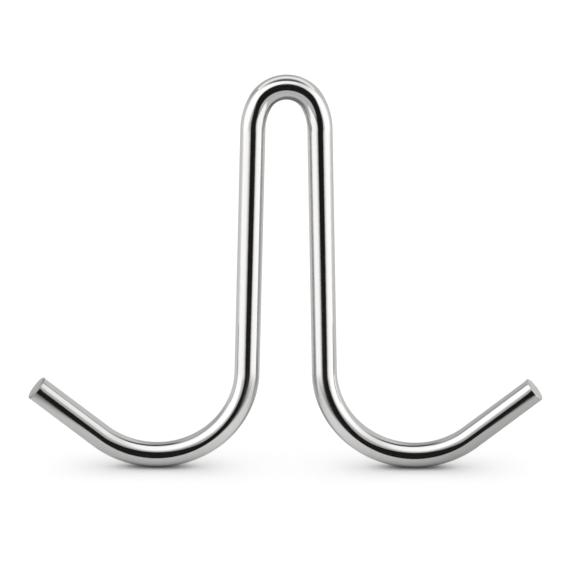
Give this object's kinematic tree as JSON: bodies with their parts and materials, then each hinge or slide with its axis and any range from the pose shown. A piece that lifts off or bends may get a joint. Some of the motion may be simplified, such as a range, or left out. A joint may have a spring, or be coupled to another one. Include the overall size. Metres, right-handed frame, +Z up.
{
  "type": "pot rack hook",
  "caption": "Pot rack hook bent from round steel rod: a narrow loop hangs over the rack bar, and an open hook at the foot of each leg holds a pan.",
  "frame": {"origin": "the middle of the loop's inside, where it sits on the rack bar", "axes": "+X across the two hooks, +Y along the rack bar and through the plane of the bends, +Z up as the hook hangs"},
  "size_m": [0.1266, 0.0064, 0.1015],
  "materials": {
    "bright_plated_steel": "bright plated over drawn and bent steel rod"
  },
  "bodies": {
    "root": {"hook": "bright_plated_steel"}
  },
  "joints": []
}
